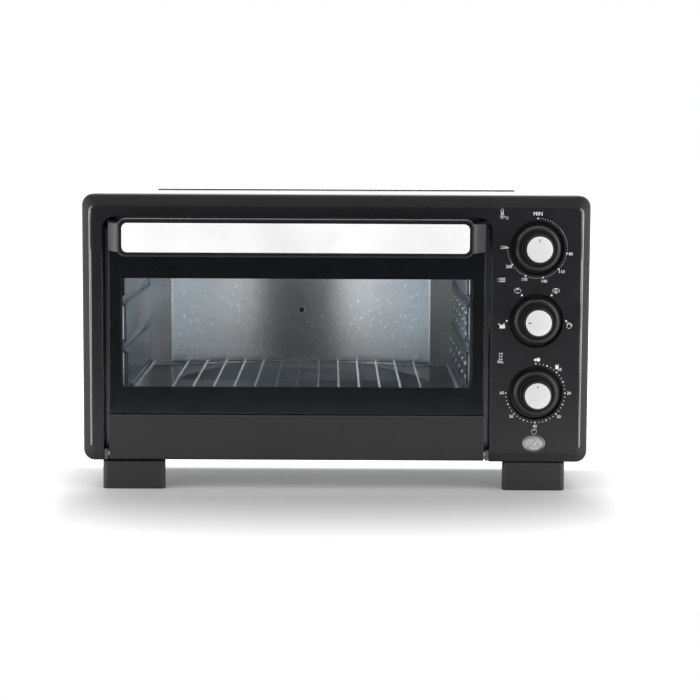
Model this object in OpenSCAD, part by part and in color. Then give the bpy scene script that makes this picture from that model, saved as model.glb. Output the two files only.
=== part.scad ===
// Counter-top toaster oven: drop-down glass door, three dials, a wire rack that follows the door and
// a crumb tray that pulls out at the back.
// Origin: centre of the underside of the whole outline. The front faces -Y and up is +Z.

/* [Body] */
// Width of the front frame
body_w = 450; // [410:1:540]
// Height of the front frame, without the feet
body_h = 238; // [232:1:290]
// Depth from the frame's face to the rear cover
body_d = 320; // [300:1:390]
// Thickness of the folded steel sheet
sheet = 1; // [0.8:0.1:1.2]
// Depth of the moulded front frame
frame_d = 26; // [25:1:30]
// Wall of the moulded front frame
frame_wall = 2.5; // [2:0.1:3]
// Width of the control panel, from the door recess to the side
panel_w = 87.5; // [84:0.5:96]
// Width of the frame's left leg
leg_w = 18.3; // [17:0.1:22]
// Height of the frame above the door recess
lintel_h = 20.5; // [19:0.5:24]

/* [Feet] */
// Height of the feet
foot_h = 26; // [22:1:32]
// Width of a foot
foot_w = 56.5; // [50:0.5:60]
// Depth of a foot
foot_d = 40; // [36:1:50]

/* [Door] */
// Gap between the door and the frame at each side
door_gap = 4.8; // [4.6:0.1:5.4]
// Height of the lower door panel
door_panel_h = 41.3; // [40:0.1:46]
// Thickness of the door glass
glass_t = 4; // [3.5:0.1:4.2]
// Thickness of the whole door
door_t = 15.6; // [15:0.1:16.5]
// Width of the black border at the sides of the window
border_w = 11; // [10:0.5:20]
// Height of the window
window_h = 96.5; // [80:0.5:103]
// How far the door opens, in degrees
door_open = 80; // [70:1:82]

/* [Handle] */
// Distance from the frame's face to the handle's face
handle_out = 40; // [36:1:44]
// Height of the handle bar
handle_h = 33.3; // [28:0.1:36]
// Thickness of the handle bar
handle_t = 13; // [10:0.5:15]

/* [Dials] */
// Spacing of the dials
dial_pitch = 64.5; // [60:0.5:68]
// Radius of a dial's flange
dial_r = 20.5; // [18:0.1:22]
// Height of a dial above the panel
dial_out = 22.5; // [19:0.5:26]
// Radius of a dial shaft
shaft_r = 3; // [2.5:0.1:3.2]

/* [Cavity] */
// Depth of the drawn bulge in the back wall
bulge_d = 42; // [34:1:44]
// Height of the lowest rack position
rack_z = 85; // [84:1:90]
// Spacing of the rack positions
rail_pitch = 42; // [36:1:42]
// Number of rack positions
rail_n = 3; // [2:1:3]
// Number of bars in the rack
rack_bars = 13; // [9:2:15]
// Radius of a heating element
heater_r = 3.5; // [3:0.1:4]
// How far the rack follows the door
rack_travel = 52; // [40:1:55]

/* [Hidden] */
$fn = 48;

// Outline
spacer_l = 10;
depth_all = handle_out + body_d + spacer_l;
front = handle_out - depth_all / 2;
rear = front + body_d;
x_side = body_w / 2;
z_low = foot_h;
z_top = foot_h + body_h;
corner_r = 10;

// Front frame
band_side = 8.5;
band_top = 11;
band_depth = 2.6;
edge_round = 1.2;
panel_wall = 3;
recess_l = -x_side + leg_w;
recess_r = x_side - panel_w;
recess_top = z_top - lintel_h;
dial_x = x_side - 47;
dial_top_z = z_top - 46.4;
dial_z = [dial_top_z, dial_top_z - dial_pitch, dial_top_z - 2 * dial_pitch];
dial_cup_r = dial_r + 3;
dial_cup_d = 5;
dial_cup_wall = 1.2;
dial_skirt = 3.5;
dial_hub_in = 6.5;
dial_cap_in = 9.2;
dial_cap_t = 2.2;
dial_lip = 2.5;
dial_flank = 9.5;
lens_x = dial_x - 0.9;
lens_z = z_low + 17.2;
lens_w = 16.6;
lens_h = 11.6;

// Wrapper and rear cover
wrap_inset = frame_wall + 0.2;
wrap_x = x_side - wrap_inset;
wrap_top = z_top - 4.5;
wrap_r = 4;
wrap_low = z_low + frame_wall + 0.3;
wrap_front = front + frame_d - 4;
gland_x = dial_x - 8;
gland_z = z_low + 49;
gland_bore_r = 4;
gland_neck_r = 8;
vent_w = 3;

// Feet
foot_x = x_side - 17.9 - foot_w / 2;
foot_front_y = front + 4;
foot_rear_y = rear - 8 - foot_d;
foot_relief = 0.6;
foot_shift = -1.3;
foot_corner = 5;
foot_screw_r = 1.5;
foot_screw_d = 8;

// Door
door_l = recess_l + door_gap;
door_r = recess_r - door_gap;
door_low = z_low + 0.9;
door_top = recess_top - 2.5;
door_face = front + 0.4;
glass_face = front + 1;
glass_back = glass_face + glass_t;
door_back = door_face + door_t;
seam_z = door_low + door_panel_h;
lip_w = 1.2;
window_low = seam_z + 24.7;
window_margin = 2;
hinge_y = front + 5.5;
hinge_z = z_low + 6.2;
pin_r = 2.5;
pin_clear = 0.05;
pin_reach = 13;
hinge_bracket_up = 4.2;
arm_r = 33;
arm_w = 3;
arm_inset = 5.5;
arm_tail = 75 - door_open;

// Handle
handle_l = door_l + 12.4;
handle_r = door_r - 13.4;
handle_z = door_top - 13.6;
handle_face = front - handle_out;
handle_back = handle_face + handle_t;
plate_inset_x = 3.8;
plate_h = handle_h - 7.8;
plate_t = 1.2;
plate_proud = 0.4;
bracket_h = 26.5;
handle_screw_r = 2;

// Cavity
mouth_y = front + 18;
cav_l = recess_l + 18.7;
cav_r = recess_r - 20.5;
cav_mid = (cav_l + cav_r) / 2;
cav_low = z_low + 24;
cav_top = z_top - 36;
cav_front = mouth_y + sheet;
cav_rear = rear - 58;
mouth_wide = 3;
flare_r = 9;
flare_a = 58;
flare_y = flare_r * sin(flare_a) + 0.2;
groove_d = 5;
groove_h = 6;
groove_slope = 2;
rails = [for (i = [0 : rail_n - 1]) rack_z + i * rail_pitch];
bulge_w = cav_r - cav_l - 43;
bulge_r = (bulge_w * bulge_w / 4 + bulge_d * bulge_d) / (2 * bulge_d);
bulge_low = rack_z - 17.5;
bulge_rise = 22;
bulge_top = cav_top - 18;
vent_cols = 6;
vent_r = 1.6;
vent_first = 8;
vent_step = (cav_rear - cav_front - 22) / (vent_cols - 1);
vent_rows = [rack_z + 15, rack_z + 27, rack_z + 54, rack_z + 63.5, rack_z + 73.5];

// Heating elements
heater_low_z = cav_low + 14;
heater_high_z = cav_top - 12;
heater_front_y = cav_front + 75;
heater_rear_y = cav_front + 165;
insulator_r = 6.5;
heater_over = 15;
probe_y = 45;
probe_z = 22;
probe_hole_r = 2;
probe_bulb_r = 2.5;
probe_bulb_l = 90;

// Rack and tray
wire_r = 1.25;
rim_r = 2;
rack_front = cav_front + 5;
rack_rear = cav_rear - 4;
rack_in = 4.5;
runner_front = cav_front + rack_travel + 9;
rack_bow = 32;
bow_w = bulge_w - 12;
bow_r = (bow_w * bow_w / 4 + rack_bow * rack_bow) / (2 * rack_bow);
bar_pitch = 19;
tray_l = cav_l + 3;
tray_r = cav_r - 3;
tray_z = cav_low + 0.3;
tray_h = 6;
tray_lip = 6;
tray_notch_x = 40;
tray_notch_r = 3;

// Controls behind the panel
bracket_y = front + 10;
bracket_t = 1.2;
bush_r = 4.6;
bush_clear = 0.4;
shaft_clear = 0.05;
shaft_tail = 10;
switch_w = 34;
post_x = 27;
post_z = 22;
post_r = 4;
post_bore_r = 1.5;
switch_plate_x = 36;
switch_plate_z = 28;
shield_x = recess_r + 1.5;

// ---- Helpers ----

module block(x0, x1, y0, y1, z0, z1) {
    translate([x0, y0, z0]) cube([x1 - x0, y1 - y0, z1 - z0]);
}

// A flat outline in x and z, given depth from y0 to y1
module along_y(y0, y1) {
    translate([0, y1, 0]) rotate([90, 0, 0]) linear_extrude(y1 - y0) children();
}

// A flat outline in y and z, given width from x0 to x1
module along_x(x0, x1) {
    translate([x0, 0, 0]) rotate([90, 0, 90]) linear_extrude(x1 - x0) children();
}

module rod_x(x0, x1, y, z, r) {
    translate([x0, y, z]) rotate([0, 90, 0]) cylinder(h = x1 - x0, r = r);
}

module rod_y(x, y0, y1, z, r) {
    translate([x, y1, z]) rotate([90, 0, 0]) cylinder(h = y1 - y0, r = r);
}

module rounded(x0, x1, y0, y1, r) {
    translate([x0 + r, y0]) square([x1 - x0 - 2 * r, y1 - y0]);
    translate([x0, y0 + r]) square([x1 - x0, y1 - y0 - 2 * r]);
    for (x = [x0 + r, x1 - r], y = [y0 + r, y1 - r]) translate([x, y]) circle(r);
}

module oval(w, h) {
    polygon([for (a = [0 : 12 : 348]) [w / 2 * cos(a), h / 2 * sin(a)]]);
}

// ---- Casing ----

// The frame's outline: a flat face, a shallow band round it and a small rounding at the edge
module frame_outline() {
    hull() {
        along_y(front, front + 0.1)
            rounded(-x_side + band_side, x_side - band_side, z_low + band_side, z_top - band_top,
                    corner_r / 2, $fn = 32);
        along_y(front + band_depth, front + band_depth + 0.1)
            rounded(-x_side + edge_round, x_side - edge_round, z_low + edge_round, z_top - edge_round,
                    corner_r - edge_round, $fn = 32);
        along_y(front + band_depth + edge_round, front + frame_d)
            rounded(-x_side, x_side, z_low, z_top, corner_r, $fn = 32);
    }
}

module frame_hollow() {
    y0 = front + 6;
    y1 = front + frame_d + 1;
    block(recess_r + frame_wall, x_side - frame_wall, y0, y1, z_low + frame_wall, z_top - frame_wall);
    block(-x_side + frame_wall, recess_l - frame_wall, y0, y1, z_low + frame_wall, z_top - frame_wall);
    block(-x_side + frame_wall, x_side - frame_wall, y0, y1, recess_top + frame_wall, z_top - frame_wall);
    block(recess_r + panel_wall, x_side - 12, front + panel_wall, y1, z_low + 10, z_top - 14);
}

// The cups that the dials turn in
module dial_cups(r, y0, y1) {
    for (z = dial_z) rod_y(dial_x, y0, y1, z, r);
}

// Screw posts that hold the switch bracket behind the panel
module frame_posts(r, y0, y1) {
    for (x = [dial_x - post_x, dial_x + post_x], z = [dial_z[0] + post_z, dial_z[2] - post_z])
        rod_y(x, y0, y1, z, r);
}

module front_frame() {
    color([0.17, 0.17, 0.18]) {
        difference() {
            frame_outline();
            along_y(front - 1, front + frame_d + 1)
                rounded(recess_l, recess_r, z_low - 50, recess_top, corner_r);
            difference() {
                frame_hollow();
                dial_cups(dial_cup_r + dial_cup_wall, front, front + dial_cup_d + dial_cup_wall);
            }
            dial_cups(dial_cup_r, front - 1, front + dial_cup_d);
            dial_cups(bush_r + bush_clear, front, front + dial_cup_d + dial_cup_wall + 1);
            translate([lens_x, 0, lens_z])
                along_y(front - 1, front + panel_wall + 1) oval(lens_w, lens_h);
        }
        difference() {
            frame_posts(post_r, front + panel_wall, bracket_y);
            frame_posts(post_bore_r, front + panel_wall + 1, bracket_y + 1);
        }
    }
}

module wrapper_outline(inset) {
    rounded(-wrap_x + inset, wrap_x - inset, z_low - 30, wrap_top - inset, wrap_r - inset);
}

module wrapper() {
    color([0.13, 0.13, 0.14]) difference() {
        along_y(wrap_front, rear) wrapper_outline(0);
        along_y(wrap_front - 1, rear + 1) wrapper_outline(sheet);
        block(-x_side, x_side, wrap_front - 1, rear + 1, z_low - 40, wrap_low);
        for (side = [-1, 1], i = [0 : 9])
            block(side * wrap_x - 5, side * wrap_x + 5, rear - 110 + i * 8, rear - 110 + i * 8 + vent_w,
                  z_top - 84, z_top - 44);
    }
}

module cover_screw_spots(r, y0, y1) {
    for (x = [-wrap_x + 14, 0, wrap_x - 14], z = [z_low + 10, wrap_top - 10]) rod_y(x, y0, y1, z, r);
}

module rear_cover() {
    color([0.14, 0.14, 0.15]) difference() {
        along_y(rear - sheet, rear)
            rounded(-wrap_x + sheet, wrap_x - sheet, z_low + sheet, wrap_top - sheet, wrap_r - sheet);
        block(tray_l - 2, tray_r + 2, rear - 2, rear + 1, tray_z - 1, tray_z + tray_h + 2.5);
        rod_y(gland_x, rear - 2, rear + 1, gland_z, gland_neck_r);
        cover_screw_spots(1.75, rear - 2, rear + 1);
        for (side = [-1, 1], row = [0 : 2], i = [0 : 11])
            block(side * 95 - 44 + i * 8, side * 95 - 44 + i * 8 + vent_w, rear - 2, rear + 1,
                  z_top - 84 - row * 34, z_top - 60 - row * 34);
    }
}

module base_plate() {
    x_in = wrap_x - sheet;
    y0 = front + frame_d;
    color([0.6, 0.61, 0.62]) {
        difference() {
            union() {
                block(-x_in, x_in, y0, rear - sheet, z_low, z_low + sheet);
                block(recess_l + 0.3, recess_r - 0.3, cav_front, y0, z_low, z_low + sheet);
            }
            for (row = [0 : 3], i = [0 : 10])
                block(-120 + i * 22, -120 + i * 22 + 14, front + 110 + row * 36, front + 113 + row * 36,
                      z_low - 1, z_low + 2);
        }
        for (side = [-1, 1])
            block(side * (x_in - sheet / 2) - sheet / 2, side * (x_in - sheet / 2) + sheet / 2,
                  y0, rear - sheet, z_low, z_low + 12);
    }
}

// A foot, with its front top edge lowered where the door swings above it
module foot(side, y0, relief) {
    color([0.16, 0.16, 0.17]) difference() {
        translate([side * foot_x + foot_shift, y0 + foot_d / 2, 0]) {
            linear_extrude(foot_h) rounded(-foot_w / 2, foot_w / 2, -foot_d / 2, foot_d / 2, foot_corner);
        }
        block(-x_side, x_side, y0 - 1, front + frame_d, foot_h - relief, foot_h + 1);
        translate([side * foot_x + foot_shift, y0 + foot_d / 2, foot_h - foot_screw_d])
            cylinder(h = foot_screw_d + 2, r = foot_screw_r);
    }
}

module foot_front_left() { foot(-1, foot_front_y, foot_relief); }
module foot_front_right() { foot(1, foot_front_y, foot_relief); }
module foot_rear_left() { foot(-1, foot_rear_y, 0); }
module foot_rear_right() { foot(1, foot_rear_y, 0); }

// ---- Cavity ----

// Height steps of a side wall: each rack position is a groove pressed outwards
function groove_points(z) = [
    [0, z - groove_h / 2 - groove_slope], [groove_d, z - groove_h / 2],
    [groove_d, z + groove_h / 2], [0, z + groove_h / 2 + groove_slope]
];
wall_face = concat([[0, cav_low]], [for (z = rails) each groove_points(z)], [[0, cav_top]]);

module wall_section() {
    back_face = [for (i = [len(wall_face) - 1 : -1 : 0]) wall_face[i] + [sheet, 0]];
    polygon(concat(wall_face, back_face));
}

// The flat lands between the grooves, as pairs of heights
land_low = [cav_low, for (z = rails) z + groove_h / 2 + groove_slope];
land_high = [for (z = rails) z - groove_h / 2 - groove_slope, cav_top];

// A side wall seen from the cavity's left: at its mouth each land curves outwards
module side_wall() {
    difference() {
        along_y(cav_front, cav_rear) wall_section();
        for (i = [0 : rail_n])
            block(-1, sheet + 1, cav_front - 1, cav_front + flare_y, land_low[i], land_high[i]);
    }
    for (i = [0 : rail_n])
        translate([flare_r, cav_front + flare_y, land_low[i]]) rotate([0, 0, 180])
            rotate_extrude(angle = flare_a) translate([flare_r - sheet, 0])
                square([sheet, land_high[i] - land_low[i]]);
}

module heater_spots(x0, x1, r) {
    for (y = [heater_front_y, heater_rear_y], z = [heater_low_z, heater_high_z]) rod_x(x0, x1, y, z, r);
}

module left_wall() {
    color([0.62, 0.64, 0.66]) difference() {
        translate([cav_l, 0, 0]) mirror([1, 0, 0]) side_wall();
        heater_spots(cav_l - 10, cav_l + 1, insulator_r);
    }
}

module right_wall() {
    color([0.62, 0.64, 0.66]) difference() {
        translate([cav_r, 0, 0]) side_wall();
        heater_spots(cav_r - 1, cav_r + 10, insulator_r);
        rod_x(cav_r - 1, cav_r + 10, cav_front + probe_y, cav_top - probe_z, probe_hole_r);
        for (z = vent_rows, i = [0 : vent_cols - 1])
            rod_x(cav_r - 1, cav_r + 10, cav_front + vent_first + i * vent_step, z, vent_r);
    }
}

module ceiling() {
    color([0.62, 0.64, 0.66])
        block(cav_l - sheet, cav_r + sheet, cav_front, cav_rear, cav_top, cav_top + sheet);
}

module cavity_floor() {
    color([0.55, 0.57, 0.58])
        block(cav_l - sheet, cav_r + sheet, cav_front, cav_rear + sheet, cav_low - sheet, cav_low);
}

// The bulge: a round-backed bay with a floor that rises to the back
module bulge(grow) {
    difference() {
        translate([cav_mid, cav_rear + bulge_d - bulge_r, cav_low])
            cylinder(h = bulge_top + grow - cav_low, r = bulge_r + grow, $fn = 96);
        block(-2000, 2000, -2000, cav_rear - (grow > 0 ? 0 : 1), cav_low - 1, z_top);
        translate([0, cav_rear, bulge_low - grow]) rotate([bulge_rise, 0, 0])
            block(-x_side, x_side, -body_d, body_d, -body_h, 0);
    }
}

module cavity_back() {
    color([0.66, 0.68, 0.69]) difference() {
        union() {
            block(cav_l - sheet, cav_r + sheet, cav_rear, cav_rear + sheet,
                  cav_low + 10, cav_top + sheet);
            bulge(sheet);
        }
        bulge(0);
        rod_y(cav_mid, cav_rear + bulge_d - 10, cav_rear + bulge_d + 5, rack_z + 51, 2.4);
    }
}

module front_flange() {
    color([0.6, 0.61, 0.62]) difference() {
        block(recess_l + 0.4, recess_r - 0.4, mouth_y, cav_front, z_low + 1, recess_top - 0.6);
        along_y(mouth_y - 1, cav_front + 1)
            rounded(cav_l - mouth_wide, cav_r + mouth_wide, cav_low + 4, cav_top - 2, 6);
        for (x = [door_l + arm_inset, door_r - arm_inset])
            block(x - arm_w / 2 - 1, x + arm_w / 2 + 1, mouth_y - 1, cav_front + 1,
                  hinge_z + 14, hinge_z + 38);
        for (x = [recess_l, recess_r]) translate([x, 0, recess_top])
            block(-corner_r, corner_r, mouth_y - 1, cav_front + 1, -corner_r, 1);
    }
}

module heat_shield() {
    color([0.6, 0.61, 0.62]) difference() {
        block(shield_x, shield_x + sheet, front + frame_d, rear - sheet, z_low + sheet, wrap_top - sheet);
        rod_x(shield_x - 1, shield_x + 3, cav_front + probe_y, cav_top - probe_z, probe_hole_r);
        for (row = [0 : 3], i = [0 : 5])
            block(shield_x - 1, shield_x + 3, rear - 150 + i * 22, rear - 136 + i * 22,
                  z_low + 60 + row * 30, z_low + 64 + row * 30);
    }
}

// ---- Heating ----

module heater(y, z) {
    color([0.42, 0.41, 0.4]) rod_x(cav_l - heater_over, cav_r + heater_over, y, z, heater_r);
}

module heater_upper_front() { heater(heater_front_y, heater_high_z); }
module heater_upper_rear() { heater(heater_rear_y, heater_high_z); }
module heater_lower_front() { heater(heater_front_y, heater_low_z); }
module heater_lower_rear() { heater(heater_rear_y, heater_low_z); }

module heater_insulators() {
    color([0.92, 0.9, 0.84]) difference() {
        union() {
            heater_spots(cav_l - 12, cav_l + 2, insulator_r);
            heater_spots(cav_l - 12, cav_l - 1.2 * sheet, insulator_r + 2);
            heater_spots(cav_r - 2, cav_r + 12, insulator_r);
            heater_spots(cav_r + 1.2 * sheet, cav_r + 12, insulator_r + 2);
        }
        heater_spots(cav_l - 20, cav_r + 20, heater_r);
    }
}

// ---- Controls ----

module switch_bracket() {
    color([0.6, 0.61, 0.62]) difference() {
        block(dial_x - switch_plate_x, dial_x + switch_plate_x, bracket_y, bracket_y + bracket_t,
              dial_z[2] - switch_plate_z, dial_z[0] + switch_plate_z);
        for (z = dial_z) rod_y(dial_x, bracket_y - 1, bracket_y + 3, z, bush_r);
        frame_posts(post_bore_r, bracket_y - 1, bracket_y + 3);
    }
}

module bracket_screws() {
    color([0.72, 0.72, 0.74]) {
        frame_posts(post_bore_r, bracket_y - 5, bracket_y + bracket_t);
        frame_posts(2 * post_bore_r, bracket_y + bracket_t, bracket_y + bracket_t + 2);
    }
}

// A rotary control: a threaded bush through the bracket and a case behind it
module rotary(i, case_h, case_d, tone) {
    color(tone) difference() {
        union() {
            rod_y(dial_x, bracket_y - 4, bracket_y + bracket_t, dial_z[i], bush_r);
            block(dial_x - switch_w / 2, dial_x + switch_w / 2, bracket_y + bracket_t,
                  bracket_y + bracket_t + case_d, dial_z[i] - case_h / 2, dial_z[i] + case_h / 2);
        }
        rod_y(dial_x, bracket_y - 5, bracket_y + shaft_tail + 1, dial_z[i], shaft_r + shaft_clear);
    }
}

module thermostat() { rotary(0, 26, 22, [0.86, 0.84, 0.78]); }
module function_switch() { rotary(1, 34, 26, [0.2, 0.2, 0.22]); }
module timer() { rotary(2, 40, 30, [0.7, 0.7, 0.72]); }

// The sensing bulb under the cavity's ceiling and the capillary back to the thermostat
module thermostat_probe() {
    y = cav_front + probe_y;
    z = cav_top - probe_z;
    color([0.72, 0.5, 0.32]) {
        rod_y(cav_r - 6, y, y + probe_bulb_l, z, probe_bulb_r);
        rod_x(cav_r - 6, dial_x, y, z, 1);
        translate([dial_x, y, z]) sphere(1, $fn = 24);
        rod_y(dial_x, bracket_y + bracket_t + 22, y, z, 1);
    }
}

module timer_bell() {
    y = bracket_y + bracket_t + 30;
    color([0.75, 0.7, 0.55]) {
        rod_y(dial_x, y, y + 11.5, dial_z[2], 2);
        difference() {
            rod_y(dial_x, y + 3, y + 12, dial_z[2], 15);
            rod_y(dial_x, y + 2, y + 10.8, dial_z[2], 13.8);
        }
    }
}

module indicator_lens() {
    color([0.86, 0.85, 0.84]) translate([lens_x, 0, lens_z]) {
        along_y(front - 0.6, front + panel_wall) oval(lens_w, lens_h);
        along_y(front + panel_wall, front + panel_wall + 1.5) oval(lens_w + 4, lens_h - 1);
    }
}

module indicator_lamp() {
    color([0.85, 0.45, 0.3]) rod_y(lens_x, front + panel_wall + 1.5, front + 24, lens_z, 4);
}

module cord_gland() {
    color([0.1, 0.1, 0.1]) difference() {
        union() {
            rod_y(gland_x, rear - 9, rear, gland_z, gland_neck_r);
            rod_y(gland_x, rear, rear + 4, gland_z, gland_neck_r + 3);
            rod_y(gland_x, rear - 9, rear - sheet, gland_z, gland_neck_r + 2);
        }
        rod_y(gland_x, rear - 10, rear + 5, gland_z, gland_bore_r);
    }
}

module terminal_block() {
    color([0.88, 0.87, 0.83]) difference() {
        block(gland_x - 24, gland_x + 24, rear - 60, rear - 40, z_low + sheet, z_low + 19);
        for (i = [-1 : 1]) rod_y(gland_x + i * 14, rear - 61, rear - 39, z_low + 11, 2.5);
    }
}

module wall_spacers() {
    color([0.15, 0.15, 0.16])
        for (x = [-wrap_x + 50, wrap_x - 50]) rod_y(x, rear, rear + spacer_l, wrap_top - 30, 9);
}

module cover_screws() {
    color([0.3, 0.3, 0.31]) {
        cover_screw_spots(1.75, rear - 7, rear);
        cover_screw_spots(3.6, rear, rear + 2.2);
    }
}

// ---- Door hinge ----

module hinge_bracket(x0, x1) {
    color([0.74, 0.75, 0.77]) difference() {
        block(x0, x1, front + 1.6, mouth_y, z_low + 1.2, hinge_z + hinge_bracket_up);
        rod_x(x0 - 1, x1 + 1, hinge_y, hinge_z, pin_r + pin_clear);
    }
}

module hinge_bracket_left() { hinge_bracket(recess_l + 0.4, door_l - 1.2); }
module hinge_bracket_right() { hinge_bracket(door_r + 1.2, recess_r - 0.4); }

module hinge_spring(x) {
    color([0.7, 0.7, 0.72]) rod_y(x, hinge_y + arm_r + 9, hinge_y + arm_r + 70, hinge_z + 1, 4);
}

module hinge_spring_left() { hinge_spring(door_l + arm_inset); }
module hinge_spring_right() { hinge_spring(door_r - arm_inset); }

module hinge_pin_left() {
    color([0.74, 0.75, 0.77]) rod_x(recess_l + 0.6, door_l + pin_reach, hinge_y, hinge_z, pin_r);
}

module hinge_pin_right() {
    color([0.74, 0.75, 0.77]) rod_x(door_r - pin_reach, recess_r - 0.6, hinge_y, hinge_z, pin_r);
}

// A curved arm about the hinge axis that checks the door and carries the spring
module hinge_arm(x) {
    root = acos((door_back - hinge_y) / arm_r);
    color([0.74, 0.75, 0.77]) translate([x - arm_w / 2, hinge_y, hinge_z]) difference() {
        rotate([90, 0, 90]) rotate([0, 0, arm_tail])
            rotate_extrude(angle = root - arm_tail + 12) translate([arm_r - 2, 0]) square([4, arm_w]);
        block(-1, arm_w + 1, -arm_r, door_back - hinge_y, -arm_r, arm_r + 5);
    }
}

module hinge_arm_left() { hinge_arm(door_l + arm_inset); }
module hinge_arm_right() { hinge_arm(door_r - arm_inset); }

// ---- Door ----

module handle_screw_spots(r, y0, y1) {
    for (x = [door_l + 9, door_r - 9], z = [handle_z - 6, handle_z + 6]) rod_y(x, y0, y1, z, r);
}

module door_frame() {
    color([0.12, 0.12, 0.13]) difference() {
        union() {
            block(door_l, door_r, glass_back, door_back, seam_z, door_top);
            block(door_l, door_r, door_face + 9, door_back, z_low + 14, seam_z);
            for (x = [door_l, door_r - lip_w])
                block(x, x + lip_w, glass_face + 0.3, glass_back, seam_z, door_top);
        }
        along_y(front, door_back + 1)
            rounded(door_l + border_w - window_margin, door_r - border_w + window_margin,
                    window_low - window_margin, window_low + window_h + window_margin, 6);
        handle_screw_spots(handle_screw_r, front, door_back + 1);
    }
}

module door_glass() {
    color([0.1, 0.11, 0.13, 0.45]) difference() {
        block(door_l + lip_w, door_r - lip_w, glass_face, glass_back, seam_z, door_top);
        handle_screw_spots(handle_screw_r, front, door_back + 1);
    }
}

module door_panel() {
    color([0.21, 0.21, 0.22]) difference() {
        along_x(door_l, door_r) rounded(door_face, door_face + 9, door_low, seam_z - 0.3, 2.5);
        rod_x(door_l - 1, door_l + pin_reach, hinge_y, hinge_z, pin_r);
        rod_x(door_r - pin_reach, door_r + 1, hinge_y, hinge_z, pin_r);
    }
}

module handle_bar() {
    color([0.15, 0.15, 0.16]) difference() {
        along_y(handle_face + plate_proud, handle_back)
            rounded(handle_l, handle_r, handle_z - handle_h / 2, handle_z + handle_h / 2, 7);
        along_y(handle_face - 1, handle_face + plate_t)
            rounded(handle_l + plate_inset_x, handle_r - plate_inset_x,
                    handle_z - plate_h / 2, handle_z + plate_h / 2, 5);
    }
}

module handle_plate() {
    color([0.85, 0.85, 0.86]) along_y(handle_face, handle_face + plate_t)
        rounded(handle_l + plate_inset_x, handle_r - plate_inset_x,
                handle_z - plate_h / 2, handle_z + plate_h / 2, 5);
}

// An end bracket, seen from above: from the door's edge forwards and inwards to the bar's back
module bracket_plan(bar_end, door_end) {
    s = sign(bar_end - door_end);
    polygon([
        [door_end + s, glass_face], [door_end + s, front - 7], [bar_end - s * 3, handle_face + 9],
        [bar_end, handle_face + 7], [bar_end, handle_back], [bar_end + s * 12, handle_back],
        [bar_end + s * 8, handle_back + 5], [bar_end + s * 2, handle_back + 8], [bar_end, front - 8],
        [bar_end, glass_face]
    ]);
}

module handle_bracket(bar_end, door_end) {
    color([0.33, 0.33, 0.34]) difference() {
        translate([0, 0, handle_z - bracket_h / 2])
            linear_extrude(bracket_h) bracket_plan(bar_end, door_end);
        handle_screw_spots(handle_screw_r, front - 6, door_back + 1);
    }
}

module handle_bracket_left() { handle_bracket(handle_l, door_l); }
module handle_bracket_right() { handle_bracket(handle_r, door_r); }

module handle_screws() {
    color([0.72, 0.72, 0.74]) {
        handle_screw_spots(handle_screw_r, front - 6, door_back);
        handle_screw_spots(3.8, door_back, door_back + 1.6);
    }
}

// ---- Dials ----

// The dial's side: a flange, a hollow curve up to the hub and a straight hub
module knob_profile() {
    hub_r = dial_r - dial_hub_in;
    hub_top = dial_out - dial_cap_t;
    polygon(concat(
        [[0, -dial_skirt], [dial_r - 1, -dial_skirt], [dial_r, 1 - dial_skirt]],
        [for (a = [0 : 15 : 90])
            [hub_r + (dial_r - hub_r) * (1 - sin(a)), dial_lip + dial_flank * (1 - cos(a))]],
        [[hub_r - 0.6, hub_top - 1], [hub_r - 1.6, hub_top], [0, hub_top]]
    ));
}

module knob(i) {
    color([0.16, 0.16, 0.17]) translate([dial_x, front, dial_z[i]]) rotate([90, 0, 0]) difference() {
        rotate_extrude() knob_profile();
        translate([0, 0, -dial_skirt - 1]) cylinder(h = dial_skirt + 13, r = shaft_r);
    }
}

module cap(i) {
    cap_r = dial_r - dial_cap_in;
    color([0.87, 0.87, 0.86]) translate([dial_x, front, dial_z[i]]) rotate([90, 0, 0]) rotate_extrude()
        polygon([[0, dial_out - dial_cap_t], [cap_r, dial_out - dial_cap_t], [cap_r, dial_out - 0.8],
                 [cap_r - 0.8, dial_out], [0, dial_out]]);
}

module shaft(i) {
    color([0.74, 0.75, 0.77]) rod_y(dial_x, front - 12, bracket_y + shaft_tail, dial_z[i], shaft_r);
}

module thermostat_knob() { knob(0); }
module thermostat_cap() { cap(0); }
module thermostat_shaft() { shaft(0); }
module function_knob() { knob(1); }
module function_cap() { cap(1); }
module function_shaft() { shaft(1); }
module timer_knob() { knob(2); }
module timer_cap() { cap(2); }
module timer_shaft() { shaft(2); }

// ---- Rack and tray ----

bow_y = rack_rear + rack_bow - bow_r;
function bow_at(x) = bow_y + sqrt(bow_r * bow_r - (x - cav_mid) * (x - cav_mid));

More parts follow.
